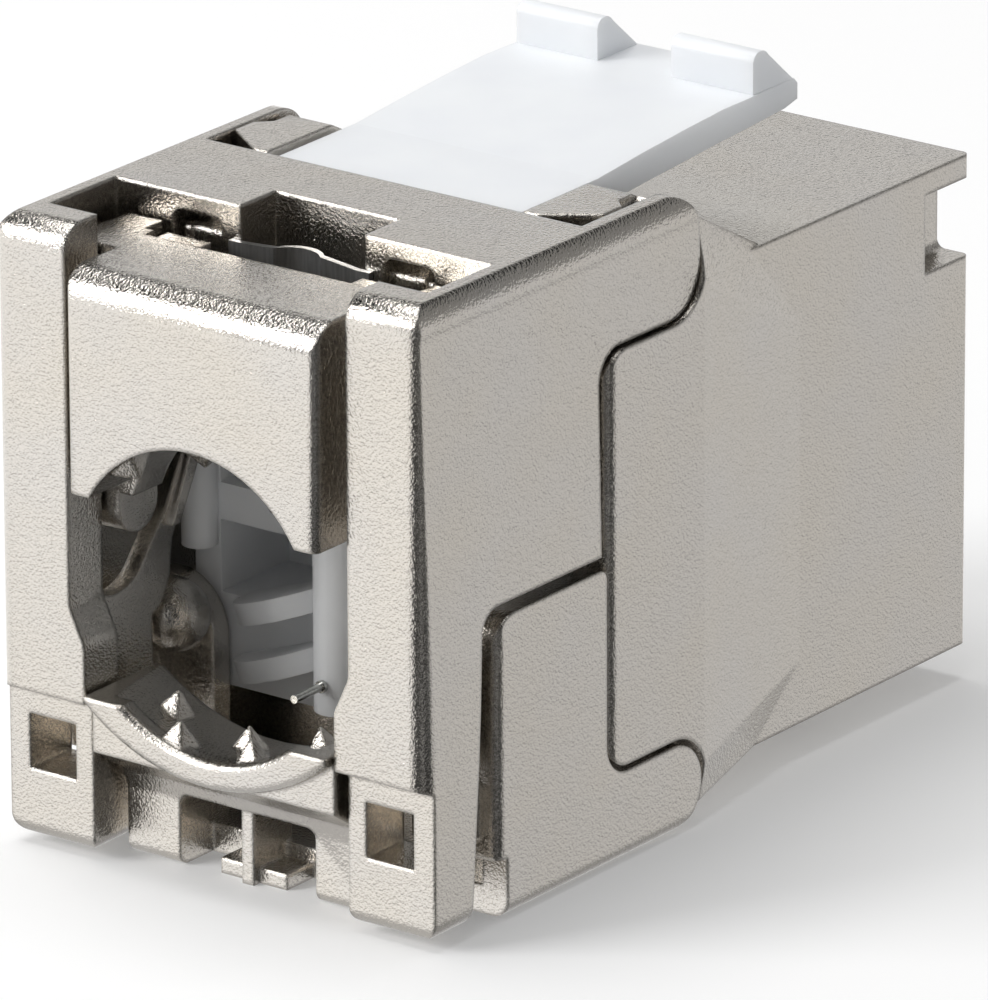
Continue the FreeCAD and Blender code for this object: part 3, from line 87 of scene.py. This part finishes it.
look = Vector((-math.sin(YAW) * math.cos(PITCH), math.cos(YAW) * math.cos(PITCH), -math.sin(PITCH)))
level_right = Vector((math.cos(YAW), math.sin(YAW), 0.0))
level_up = level_right.cross(look)
right = math.cos(ROLL) * level_right + math.sin(ROLL) * level_up
up = -math.sin(ROLL) * level_right + math.cos(ROLL) * level_up
camera = bpy.data.objects.new("camera", bpy.data.cameras.new("camera"))
bpy.context.scene.collection.objects.link(camera)
camera.data.lens = LENS
camera.data.sensor_width = SENSOR
camera.data.clip_start, camera.data.clip_end = NEAR_FAR
pose = Matrix((right, up, -look)).transposed().to_4x4()
pose.translation = AIM + SIDE_STEP * right + RISE_STEP * up - DISTANCE * look
camera.matrix_world = pose
bpy.context.scene.camera = camera
bpy.context.scene.view_settings.view_transform = "Standard"
print("camera at mm:", [round(v / MM, 1) for v in pose.translation])

# %% [markdown]
# ## Node helpers
# Every finish below is a small graph of shader nodes, and five helpers keep
# the graphs short. Two make a material and add a joined node in one line. The
# other three are what most finishes need: noise of a given size in mm, a blend
# between two tones, and a stack of bump layers.


# %% Node helpers
def new_material(name, colour, roughness, metallic=0.0):
    """A material with a Principled shader; uniform values go on its own sockets."""
    material = bpy.data.materials.new(name)
    material.use_nodes = True
    shader = material.node_tree.nodes["Principled BSDF"]
    shader.inputs["Base Color"].default_value = (*colour, 1.0)
    shader.inputs["Roughness"].default_value = roughness
    shader.inputs["Metallic"].default_value = metallic
    return material, shader


def add_node(tree, kind, values=None, links=None, **settings):
    """Adds one node. values and links are both by input name."""
    node = tree.nodes.new(kind)
    for key, value in settings.items():
        setattr(node, key, value)
    for key, value in (values or {}).items():
        node.inputs[key].default_value = value
    for key, source in (links or {}).items():
        tree.links.new(source, node.inputs[key])
    return node


def grain(tree, size_mm, detail=2.0):
    """Noise whose cells are about size_mm wide, fixed to the object."""
    place = add_node(tree, "ShaderNodeTexCoord")
    return add_node(tree, "ShaderNodeTexNoise", {"Scale": 1.0 / (size_mm * MM), "Detail": detail},
                    {"Vector": place.outputs["Object"]})


def tones(tree, source, low, high, start=0.3, end=0.7):
    """Colours between two tones, driven by a value."""
    ramp = add_node(tree, "ShaderNodeValToRGB", links={"Fac": source})
    ramp.color_ramp.elements[0].position = start
    ramp.color_ramp.elements[1].position = end
    ramp.color_ramp.elements[0].color = (*low, 1.0)
    ramp.color_ramp.elements[1].color = (*high, 1.0)
    return ramp.outputs["Color"]


def relief(tree, shader, layers, normal=None):
    """Stacks bump layers on a normal: each is (height output, strength, height in mm)."""
    for height, strength, depth_mm in layers:
        links = {"Height": height}
        if normal is not None:
            links["Normal"] = normal
        bump = add_node(tree, "ShaderNodeBump", {"Strength": strength, "Distance": depth_mm * MM}, links)
        normal = bump.outputs["Normal"]
    tree.links.new(normal, shader.inputs["Normal"])


print("node helpers ready")

# %% [markdown]
# ## Nickel-plated casting
# The housing, the wings and the clamp are zinc castings with satin nickel
# plate. Plate follows the cast skin, so the metal has a fine grain. On a flat
# face every grain mirrors the same pale studio and hardly shows; where an edge
# turns, the grains catch light and dark by turns and sparkle. That comes from
# real surface slope, so the grain is a strong fine bump and not a painted
# pattern. The Bevel node rounds the light along the cast edges.


# %% Nickel-plated casting
NICKEL_WARM = (0.65, 0.61, 0.55)
NICKEL_COOL = (0.64, 0.61, 0.57)
DRIFT_SIZE = 4.0                # mm, the slow change between the two tones
ROUGHNESS_LOW = 0.14
ROUGHNESS_HIGH = 0.22
NOISE_LOW = 0.35                # the part of the noise that the roughness spreads over
NOISE_HIGH = 0.65
EDGE_RADIUS = 0.2               # mm
EDGE_SAMPLES = 6
# Bump layers from coarse to fine: size in mm, noise detail, strength, height in mm.
SWELL = (1.2, 2.0, 0.3, 0.03)
SKIN = (0.095, 1.0, 1.0, 0.022)
FINE = (0.055, 1.0, 1.0, 0.011)


def nickel_material(name):
    """Satin nickel with cast grain, drifting between a warm and a cool tone."""
    material, shader = new_material(name, NICKEL_WARM, ROUGHNESS_LOW, metallic=1.0)
    tree = material.node_tree
    layers = []
    for size_mm, detail, strength, height_mm in (SWELL, SKIN, FINE):
        noise = grain(tree, size_mm, detail)
        layers.append((noise.outputs["Fac"], strength, height_mm))
    skin = layers[1][0]
    drift = grain(tree, DRIFT_SIZE)
    tree.links.new(tones(tree, drift.outputs["Fac"], NICKEL_WARM, NICKEL_COOL), shader.inputs["Base Color"])
    spread = {"From Min": NOISE_LOW, "From Max": NOISE_HIGH,
              "To Min": ROUGHNESS_LOW, "To Max": ROUGHNESS_HIGH}
    rough = add_node(tree, "ShaderNodeMapRange", spread, {"Value": skin})
    tree.links.new(rough.outputs["Result"], shader.inputs["Roughness"])
    edges = add_node(tree, "ShaderNodeBevel", {"Radius": EDGE_RADIUS * MM}, samples=EDGE_SAMPLES)
    relief(tree, shader, layers, edges.outputs["Normal"])
    return material


casting = nickel_material("nickel_casting")
print("made", casting.name)

# %% [markdown]
# ## Sheet metal, plated contacts and board
# The small metal pieces are smoother than the castings: rolled spring sheet,
# gold-plated contact wire and tin-plated strip. Fine stretched noise gives the
# drawn direction. The board gets a faint weave under its solder mask.


# %% Sheet metal, contacts and board
ACROSS = 9000.0                 # noise cells per metre across the drawn lines
ALONG = 900.0                   # and along them
LINE_DETAIL = 3.0
LINE_SHADE = 0.72               # tone of the drawn lines against the metal
LINE_RELIEF = (0.25, 0.01)      # strength, and height in mm
MASK = (0.03, 0.16, 0.07)
MASK_DARK = (0.025, 0.13, 0.055)
MASK_LIGHT = (0.04, 0.19, 0.085)
WEAVE_SCALE = 900.0
WEAVE_DISTORTION = 1.5
WEAVE_RELIEF = (0.1, 0.01)      # strength, and height in mm


def sheet_material(name, colour, roughness, stretch):
    """Rolled or drawn metal: noise stretched along the direction of rolling."""
    material, shader = new_material(name, colour, roughness, metallic=1.0)
    tree = material.node_tree
    place = add_node(tree, "ShaderNodeTexCoord")
    turn = add_node(tree, "ShaderNodeMapping", {"Scale": stretch}, {"Vector": place.outputs["Object"]})
    lines = add_node(tree, "ShaderNodeTexNoise", {"Scale": 1.0, "Detail": LINE_DETAIL},
                     {"Vector": turn.outputs["Vector"]})
    dark = tuple(LINE_SHADE * tone for tone in colour)
    tree.links.new(tones(tree, lines.outputs["Fac"], dark, colour), shader.inputs["Base Color"])
    relief(tree, shader, [(lines.outputs["Fac"], *LINE_RELIEF)])
    return material


spring_sheet = sheet_material("spring_sheet", (0.58, 0.58, 0.58), roughness=0.36,
                              stretch=(ACROSS, ACROSS, ALONG))
gold_wire = sheet_material("gold_wire", (0.92, 0.68, 0.28), roughness=0.18,
                           stretch=(ACROSS, ALONG, ACROSS))
tin_strip = sheet_material("tin_strip", (0.62, 0.62, 0.60), roughness=0.25,
                           stretch=(ALONG, ACROSS, ACROSS))


def board_material():
    """Green solder mask over glass weave."""
    material, shader = new_material("board", MASK, roughness=0.35)
    tree = material.node_tree
    place = add_node(tree, "ShaderNodeTexCoord")
    weave = add_node(tree, "ShaderNodeTexWave", {"Scale": WEAVE_SCALE, "Distortion": WEAVE_DISTORTION},
                     {"Vector": place.outputs["Object"]}, bands_direction="DIAGONAL")
    tree.links.new(tones(tree, weave.outputs["Fac"], MASK_DARK, MASK_LIGHT), shader.inputs["Base Color"])
    relief(tree, shader, [(weave.outputs["Fac"], *WEAVE_RELIEF)])
    return material


board = board_material()
print("made", spring_sheet.name, gold_wire.name, tin_strip.name, board.name)

# %% [markdown]
# ## Moulded plastics
# The latch is natural nylon, so light sinks a little way in: a short
# subsurface radius gives that milky look. The other mouldings share the same
# graph with different tones. All carry the faint skin of a mould.


# %% Moulded plastics
MOULD_SKIN = (0.35, 3.0)        # size in mm, and noise detail
MOULD_RELIEF = (0.12, 0.02)     # strength, and height in mm
CLOUD_SIZE = 3.0                # mm, the slow change between the two tones
SINK_DEPTH = 1.2                # mm that light sinks into white plastic


def moulded_material(name, low, high, roughness, glow=0.0):
    """Moulded plastic with a faint skin; glow is how much light sinks in."""
    material, shader = new_material(name, high, roughness)
    tree = material.node_tree
    skin = grain(tree, *MOULD_SKIN)
    cloud = grain(tree, CLOUD_SIZE)
    tree.links.new(tones(tree, cloud.outputs["Fac"], low, high), shader.inputs["Base Color"])
    shader.inputs["Subsurface Weight"].default_value = glow
    shader.inputs["Subsurface Radius"].default_value = (SINK_DEPTH * MM,) * 3
    shader.inputs["Subsurface Scale"].default_value = 1.0
    relief(tree, shader, [(skin.outputs["Fac"], *MOULD_RELIEF)])
    return material


nylon = moulded_material("white_nylon", (0.80, 0.82, 0.85), (0.84, 0.86, 0.88), roughness=0.38, glow=0.35)
white_plastic = moulded_material("white_plastic", (0.80, 0.81, 0.82), (0.86, 0.87, 0.88),
                                 roughness=0.42, glow=0.35)
dark_plastic = moulded_material("dark_plastic", (0.035, 0.036, 0.04), (0.055, 0.056, 0.06), roughness=0.45)
print("made", nylon.name, white_plastic.name, dark_plastic.name)

# %% [markdown]
# ## Finishes on the carried-over pieces
# Each CAD piece keeps its shape and only gets a better finish. A table of
# name beginnings sorts them, so the sixteen contacts need only one line for
# each kind.

# %% Finishes
FINISH_BY_NAME = {
    "main_housing": casting,
    "upper_wing": casting,
    "lower_wing": casting,
    "clamp_plate": casting,
    "clamp_spring": spring_sheet,
    "keystone_latch": nylon,
    "contact_insert": dark_plastic,
    "contact_board": board,
    "idc_block": white_plastic,
    "wire_manager": white_plastic,
    "plug_spring": spring_sheet,
    "port_contact": gold_wire,
    "idc_contact": tin_strip,
    "drain_pin": tin_strip,
}


def finish_of(name):
    """The finish whose name beginning matches."""
    return next(finish for start, finish in FINISH_BY_NAME.items() if name.startswith(start))


for name, node in nodes.items():
    node.data.materials.clear()
    node.data.materials.append(finish_of(name))
print("finished", len(nodes), "pieces")

# %% [markdown]
# ## Softened cast edges
# No casting or moulding has a truly sharp edge, and it is the rounded edges
# that catch the light. Each visible body is copied, its flat triangles are
# joined into clean faces, and a Bevel modifier rounds the sharp edges. Smooth
# shading would also blur the shallow edge between two broad planes, so those
# edges are marked sharp, and a Weighted Normal modifier keeps flat faces flat.
# The copy then stands for the CAD piece, which stays as it was for the motion.


# %% Softened edges
WELD_DISTANCE = 0.002           # mm
FLAT_ANGLE = 0.8                # degrees, triangles this close to one plane are joined
BEVEL_ANGLE = 28.0              # degrees, sharper edges are rounded
BEVEL_SEGMENTS = 3
CREASE_ANGLE = 4.0              # degrees
CREASE_WIDTH = 0.5              # mm, broad planes are wider and the strips of a round narrower
AREA_WEIGHT = 100               # how far the large faces set the normals


def crease_between_planes(form):
    """Keeps the shallow edge between two broad planes crisp, but not the strips of a round."""
    for edge in form.edges:
        if not edge.is_manifold or edge.calc_face_angle() < math.radians(CREASE_ANGLE):
            continue
        widths = [face.calc_area() / max(side.calc_length() for side in face.edges)
                  for face in edge.link_faces]
        edge.smooth = min(widths) < CREASE_WIDTH * MM


def softened(name, width_mm):
    """A copy of a CAD piece with rounded edges, riding where the piece rides."""
    source = nodes[name]
    mesh = source.data.copy()
    form = bmesh.new()
    form.from_mesh(mesh)
    bmesh.ops.remove_doubles(form, verts=form.verts, dist=WELD_DISTANCE * MM)
    bmesh.ops.dissolve_limit(form, angle_limit=math.radians(FLAT_ANGLE), verts=form.verts, edges=form.edges)
    for face in form.faces:
        face.smooth = True
    crease_between_planes(form)
    form.to_mesh(mesh)
    form.free()
    piece = bpy.data.objects.new(name + "_cast", mesh)
    bpy.context.scene.collection.objects.link(piece)
    bevel = piece.modifiers.new("rounded_edges", "BEVEL")
    bevel.width = width_mm * MM
    bevel.segments = BEVEL_SEGMENTS
    bevel.limit_method = "ANGLE"
    bevel.angle_limit = math.radians(BEVEL_ANGLE)
    bevel.use_clamp_overlap = True
    flat_first = piece.modifiers.new("flat_first", "WEIGHTED_NORMAL")
    flat_first.mode = "FACE_AREA"
    flat_first.weight = AREA_WEIGHT
    flat_first.keep_sharp = True
    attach(piece, source["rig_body"])
    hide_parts(name)
    return piece


CASTING_EDGE = 0.14             # mm
LATCH_EDGE = 0.12               # mm
SOFT_EDGES = {
    "main_housing": (CASTING_EDGE, "nickel_casting"),
    "upper_wing": (CASTING_EDGE, "nickel_casting"),
    "lower_wing": (CASTING_EDGE, "nickel_casting"),
    "clamp_plate": (CASTING_EDGE, "nickel_casting"),
    "keystone_latch": (LATCH_EDGE, "white_nylon"),
}
for name, (width, slot_name) in SOFT_EDGES.items():
    piece = softened(name, width)
    print("softened", name, "faces:", len(piece.data.polygons))

# %% [markdown]
# ## Studio surround
# Satin metal has little colour of its own: it shows what stands round it. So
# mirror-like rays see a shaped surround: a bright floor to the left of the
# viewer, a calmer one to the right and a dark gap between them, a bright low
# sky behind the jack, and narrow bright rings in a dark sky on the left. Flat
# faces then look even, and every rounded edge turns dark and sparkles. Each
# part is one ramp by direction round the jack times one ramp by height.


# %% Studio surround
# Direction round the jack: 0 and 1 are -X, 0.25 is -Y, 0.5 is +X and 0.75 is +Y.
FLOOR_ROUND = ((0.0, 0.9), (0.15, 1.0), (0.24, 0.9), (0.28, 0.06), (0.38, 0.06), (0.40, 0.45),
               (0.42, 0.06), (0.53, 0.06), (0.58, 0.52), (0.65, 0.56), (0.74, 0.54), (0.85, 1.0),
               (1.0, 0.9))
SKY_ROUND = ((0.0, 0.04), (0.46, 0.04), (0.56, 0.34), (0.65, 0.34), (0.76, 0.4), (0.81, 0.95),
             (0.88, 1.0), (0.93, 0.2), (1.0, 0.04))
RING_ROUND = ((0.0, 1.0), (0.28, 1.0), (0.33, 0.0), (0.86, 0.0), (0.91, 1.0), (1.0, 1.0))
# Height: -1 is straight down, 0 the horizon and 1 straight up.
FLOOR_BY_HEIGHT = ((-1.0, 0.7), (-0.6, 0.6), (-0.34, 1.32), (-0.03, 1.35), (0.03, 0.0), (1.0, 0.0))
SKY_BY_HEIGHT = ((-1.0, 0.0), (-0.03, 0.0), (0.03, 0.76), (0.53, 0.76), (0.59, 0.02), (1.0, 0.02))
RING_BY_HEIGHT = ((-1.0, 0.0), (0.03, 0.0), (0.04, 1.1), (0.13, 1.1), (0.15, 0.0), (0.34, 0.0),
                  (0.35, 1.3), (0.43, 1.3), (0.44, 0.0), (0.795, 0.0), (0.80, 1.6), (0.83, 1.6),
                  (0.84, 0.0), (1.0, 0.0))
SURROUND_PARTS = ((FLOOR_ROUND, FLOOR_BY_HEIGHT), (SKY_ROUND, SKY_BY_HEIGHT), (RING_ROUND, RING_BY_HEIGHT))


def levels_ramp(tree, source, levels):
    """A grey ramp through (position, level) pairs."""
    ramp = add_node(tree, "ShaderNodeValToRGB", links={"Fac": source})
    stops = ramp.color_ramp.elements
    stops[1].position = levels[-1][0]
    for position, level in levels[1:-1]:
        stops.new(position)
    for stop, (position, level) in zip(stops, levels):
        stop.position = position
        stop.color = (level, level, level, 1.0)
    return ramp.outputs["Color"]


def math_node(tree, operation, first, second):
    """One value combined with another."""
    return add_node(tree, "ShaderNodeMath", links={0: first, 1: second}, operation=operation).outputs[0]


def surround_brightness(tree):
    """The sum of the surround's parts, each by direction round the jack and by height."""
    place = add_node(tree, "ShaderNodeTexCoord")
    turn = add_node(tree, "ShaderNodeTexGradient", links={"Vector": place.outputs["Generated"]},
                    gradient_type="RADIAL").outputs["Fac"]
    parted = add_node(tree, "ShaderNodeSeparateXYZ", links={"Vector": place.outputs["Generated"]})
    rise = add_node(tree, "ShaderNodeMath", {1: 0.5, 2: 0.5}, {0: parted.outputs["Z"]},
                    operation="MULTIPLY_ADD").outputs[0]
    brightness = None
    for around, by_height in SURROUND_PARTS:
        upright = [(0.5 + 0.5 * height, level) for height, level in by_height]
        part = math_node(tree, "MULTIPLY", levels_ramp(tree, turn, around), levels_ramp(tree, rise, upright))
        brightness = part if brightness is None else math_node(tree, "ADD", brightness, part)
    return brightness


def studio_world(even):
    """White to the camera, even to soft surfaces, and shaped to mirror-like rays."""
    world = bpy.data.worlds.new("surround")
    world.use_nodes = True
    tree = world.node_tree
    path = add_node(tree, "ShaderNodeLightPath")
    soft = add_node(tree, "ShaderNodeMix", {"A": even})
    tree.links.new(path.outputs["Is Glossy Ray"], soft.inputs["Factor"])
    tree.links.new(surround_brightness(tree), soft.inputs["B"])
    level = add_node(tree, "ShaderNodeMix", {"B": 1.0})
    tree.links.new(path.outputs["Is Camera Ray"], level.inputs["Factor"])
    tree.links.new(soft.outputs[0], level.inputs["A"])
    background = tree.nodes["Background"]
    tree.links.new(level.outputs[0], background.inputs["Strength"])
    background.inputs["Color"].default_value = (1.0, 1.0, 1.0, 1.0)
    bpy.context.scene.world = world


EVEN_LIGHT = 0.36
studio_world(EVEN_LIGHT)
print("surround parts:", len(SURROUND_PARTS))

# %% [markdown]
# ## Floor and lamps
# The floor is a wide pale sheet that catches the shadow. Its own slight glow
# for the camera keeps it white in the open, and mirror-like rays pass it, so
# they see the shaped surround. Two soft lamps light the jack: one overhead
# gives the contact shadow, and one from the front left fills the recesses and
# sends the shadow to the right. Neither shows as a spot in the metal.


# %% Floor and lamps
FLOOR_REACH = 4.0               # metres from the middle to each side
FLOOR_TONE = 0.80
FLOOR_GLOW = 0.19
LAMP_AIM = Vector((0.0, 0.0, 0.01))


def studio_floor(tone, glow):
    """A wide pale sheet that keeps the shadow and stays white in the open."""
    mesh = bpy.data.meshes.new("studio_floor")
    form = bmesh.new()
    bmesh.ops.create_grid(form, x_segments=1, y_segments=1, size=FLOOR_REACH)
    form.to_mesh(mesh)
    form.free()
    floor = bpy.data.objects.new("studio_floor", mesh)
    bpy.context.scene.collection.objects.link(floor)
    floor.visible_glossy = False
    material, shader = new_material("pale_sheet", (tone, tone, tone), roughness=0.9)
    tree = material.node_tree
    path = add_node(tree, "ShaderNodeLightPath")
    seen = add_node(tree, "ShaderNodeMath", {1: glow}, {0: path.outputs["Is Camera Ray"]},
                    operation="MULTIPLY")
    tree.links.new(seen.outputs[0], shader.inputs["Emission Strength"])
    shader.inputs["Emission Color"].default_value = (1.0, 1.0, 1.0, 1.0)
    mesh.materials.append(material)


def soft_lamp(name, place, size, power):
    """A square soft lamp that points at the jack and leaves no highlight in the metal."""
    data = bpy.data.lights.new(name, "AREA")
    data.size = size
    data.energy = power
    data.specular_factor = 0.0
    lamp = bpy.data.objects.new(name, data)
    lamp.location = place
    lamp.rotation_euler = (LAMP_AIM - Vector(place)).to_track_quat("-Z", "Y").to_euler()
    bpy.context.scene.collection.objects.link(lamp)


studio_floor(FLOOR_TONE, FLOOR_GLOW)
soft_lamp("overhead", (-0.10, -0.02, 0.60), size=0.36, power=1.75)
soft_lamp("front_fill", (-0.36, -0.44, 0.30), size=0.30, power=2.4)
print("studio ready")
